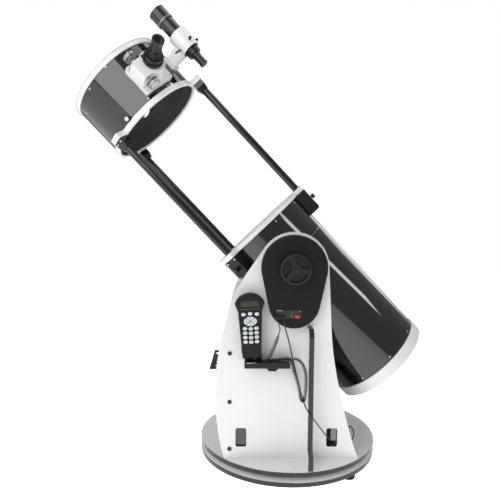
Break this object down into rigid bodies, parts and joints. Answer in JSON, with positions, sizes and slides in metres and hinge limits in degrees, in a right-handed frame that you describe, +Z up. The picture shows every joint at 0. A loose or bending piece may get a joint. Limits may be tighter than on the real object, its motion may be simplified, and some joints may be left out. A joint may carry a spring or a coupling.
{
  "type": "dobsonian telescope",
  "caption": "Collapsible truss Newtonian telescope on a motorised rocker base, with handset, finder scope, focuser and eyepiece.",
  "frame": {"origin": "on the floor under the azimuth axis, at the centre of the circle through the three feet", "axes": "+Z up along the azimuth axis; the altitude axis runs along Y; at rest the tube points towards -X and up, and the handset side faces -Y"},
  "size_m": [1.2204, 0.636, 1.5568],
  "materials": {
    "laminate": "white laminated board, black edge band",
    "foot_rubber": "matt black rubber",
    "zinc_steel": "zinc plated",
    "gear_plastic": "moulded",
    "cage_plastic": "moulded cage and rollers",
    "black_cap": "press-in caps",
    "black_steel": "black powder coat",
    "black_case": "textured",
    "motor_grey": "plain",
    "red_switch": "red rocker",
    "handset_black": "plain",
    "key_rubber": "pale keys",
    "cord_black": "curly cord",
    "plug_plastic": "plain",
    "gloss_black_steel": "gloss black outside, matt inside",
    "white_casting": "plain",
    "black_casting": "plain",
    "gear_brass": "plain",
    "knob_black": "plain",
    "mirror_coating": "plain",
    "strut_black": "gloss black anodised",
    "chrome": "plain",
    "knob_metal": "plain",
    "eyepiece_black": "plain",
    "finder_black": "plain"
  },
  "bodies": {
    "ground": {"ground_board": "laminate", "rubber_feet": "foot_rubber", "azimuth_pivot_bolt": "zinc_steel", "azimuth_gear": "gear_plastic"},
    "rollers": {"roller_bearing": "cage_plastic"},
    "rocker": {"turntable_board": "laminate", "near_side_panel": "laminate", "far_side_panel": "laminate", "front_board": "laminate", "side_braces": "laminate", "panel_screw_caps": "black_cap", "eyepiece_rack": "black_steel", "azimuth_drive_box": "black_case", "altitude_drive_housing": "black_case", "altitude_motor": "motor_grey", "far_bearing_cover": "black_case", "control_panel": "black_case", "handset_holder": "black_steel", "handset_back_shell": "handset_black", "handset_front_shell": "handset_black", "handset_cord": "cord_black", "azimuth_cable": "cord_black", "cord_plugs": "plug_plastic"},
    "power_switch": {"power_switch": "red_switch"},
    "tube": {"lower_tube": "gloss_black_steel", "front_ring": "white_casting", "rear_ring": "white_casting", "strut_clamps": "black_casting", "altitude_hubs": "black_casting", "altitude_gear": "gear_brass", "mirror_cell": "black_casting", "primary_mirror": "mirror_coating"},
    "altitude_knob": {"altitude_knob": "knob_black"},
    "tension_knob": {"tension_knob": "knob_black"},
    "cage": {"struts": "strut_black", "cage_tube": "gloss_black_steel", "cage_front_ring": "white_casting", "cage_rear_ring": "white_casting", "cage_fasteners": "chrome", "spider": "black_steel", "secondary_mirror": "mirror_coating", "focuser_base": "white_casting", "finder_shoe": "white_casting", "finder_bracket": "white_casting", "finder_scope": "finder_black"},
    "drawtube": {"focuser_drawtube": "strut_black", "eyepiece": "eyepiece_black"},
    "focus_knobs": {"focus_knobs": "knob_metal"},
    "key_up": {"key_up": "key_rubber"},
    "key_down": {"key_down": "key_rubber"},
    "key_left": {"key_left": "key_rubber"},
    "key_right": {"key_right": "key_rubber"},
    "menu_keys": {"menu_keys": "key_rubber"},
    "number_keys": {"number_keys": "key_rubber"},
    "strut_lock_1": {"strut_lock_1": "knob_black"},
    "strut_lock_2": {"strut_lock_2": "knob_black"},
    "strut_lock_3": {"strut_lock_3": "knob_black"},
    "collimation_knob_1": {"collimation_knob_1": "knob_black"},
    "collimation_knob_2": {"collimation_knob_2": "knob_black"},
    "collimation_knob_3": {"collimation_knob_3": "knob_black"}
  },
  "joints": [
    {"name": "azimuth", "type": "hinge", "parent": "ground", "child": "rocker", "pos_m": [0, 0, 0.061], "axis": [0, 0, 1], "continuous": true},
    {"name": "roller_cage_spin", "type": "hinge", "parent": "ground", "child": "rollers", "pos_m": [0, 0, 0.0445], "axis": [0, 0, 1], "continuous": true},
    {"name": "altitude", "type": "hinge", "parent": "rocker", "child": "tube", "pos_m": [0, 0, 0.703], "axis": [0, 1, 0], "range_deg": [-46.3, 43.7]},
    {"name": "truss_slide", "type": "slide", "parent": "tube", "child": "cage", "axis": [0.6909, 0, -0.723], "range_m": [0, 0.47]},
    {"name": "power_switch_rock", "type": "hinge", "parent": "rocker", "child": "power_switch", "pos_m": [0.009, -0.264, 0.551], "axis": [1, 0, 0], "range_deg": [-14, 0]},
    {"name": "altitude_knob_turn", "type": "hinge", "parent": "tube", "child": "altitude_knob", "pos_m": [0, -0.28, 0.703], "axis": [0, -1, 0], "range_deg": [-90, 180]},
    {"name": "tension_knob_turn", "type": "hinge", "parent": "tube", "child": "tension_knob", "pos_m": [0, 0.256, 0.703], "axis": [0, 1, 0], "range_deg": [-90, 180]},
    {"name": "focus_knob_turn", "type": "hinge", "parent": "cage", "child": "focus_knobs", "pos_m": [-0.47862, -0.21977, 1.31067], "axis": [-0.6909, 0, 0.723], "range_deg": [-161, 14]},
    {"name": "focus_travel", "type": "slide", "parent": "cage", "child": "drawtube", "axis": [0.3505, -0.8746, 0.3349], "range_m": [-0.003, 0.035]},
    {"name": "key_up_press", "type": "slide", "parent": "rocker", "child": "key_up", "axis": [0, 1, 0], "range_m": [0, 0.0012], "stiffness_N_per_m": 300},
    {"name": "key_down_press", "type": "slide", "parent": "rocker", "child": "key_down", "axis": [0, 1, 0], "range_m": [0, 0.0012], "stiffness_N_per_m": 300},
    {"name": "key_left_press", "type": "slide", "parent": "rocker", "child": "key_left", "axis": [0, 1, 0], "range_m": [0, 0.0012], "stiffness_N_per_m": 300},
    {"name": "key_right_press", "type": "slide", "parent": "rocker", "child": "key_right", "axis": [0, 1, 0], "range_m": [0, 0.0012], "stiffness_N_per_m": 300},
    {"name": "menu_keys_press", "type": "slide", "parent": "rocker", "child": "menu_keys", "axis": [0, 1, 0], "range_m": [0, 0.0012], "stiffness_N_per_m": 300},
    {"name": "number_keys_press", "type": "slide", "parent": "rocker", "child": "number_keys", "axis": [0, 1, 0], "range_m": [0, 0.0012], "stiffness_N_per_m": 300},
    {"name": "strut_lock_1_turn", "type": "hinge", "parent": "tube", "child": "strut_lock_1", "pos_m": [0.07891, 0, 0.93886], "axis": [0.723, 0, 0.6909], "range_deg": [0, 360]},
    {"name": "strut_lock_2_turn", "type": "hinge", "parent": "tube", "child": "strut_lock_2", "pos_m": [-0.18238, 0.16853, 0.68916], "axis": [-0.4647, 0.766, -0.4441], "range_deg": [0, 360]},
    {"name": "strut_lock_3_turn", "type": "hinge", "parent": "tube", "child": "strut_lock_3", "pos_m": [-0.18238, -0.16853, 0.68916], "axis": [-0.4647, -0.766, -0.4441], "range_deg": [0, 360]},
    {"name": "collimation_1_turn", "type": "hinge", "parent": "tube", "child": "collimation_knob_1", "pos_m": [0.38938, 0.09699, 0.37659], "axis": [0.6909, 0, -0.723], "range_deg": [-180, 180]},
    {"name": "collimation_2_turn", "type": "hinge", "parent": "tube", "child": "collimation_knob_2", "pos_m": [0.26792, 0, 0.26052], "axis": [0.6909, 0, -0.723], "range_deg": [-180, 180]},
    {"name": "collimation_3_turn", "type": "hinge", "parent": "tube", "child": "collimation_knob_3", "pos_m": [0.38938, -0.09699, 0.37659], "axis": [0.6909, 0, -0.723], "range_deg": [-180, 180]}
  ],
  "couplings": [
    {"joint": "roller_cage_spin", "follows": "azimuth", "ratio": 0.5},
    {"joint": "focus_knob_turn", "follows": "focus_travel", "rad_per_m": -80}
  ]
}
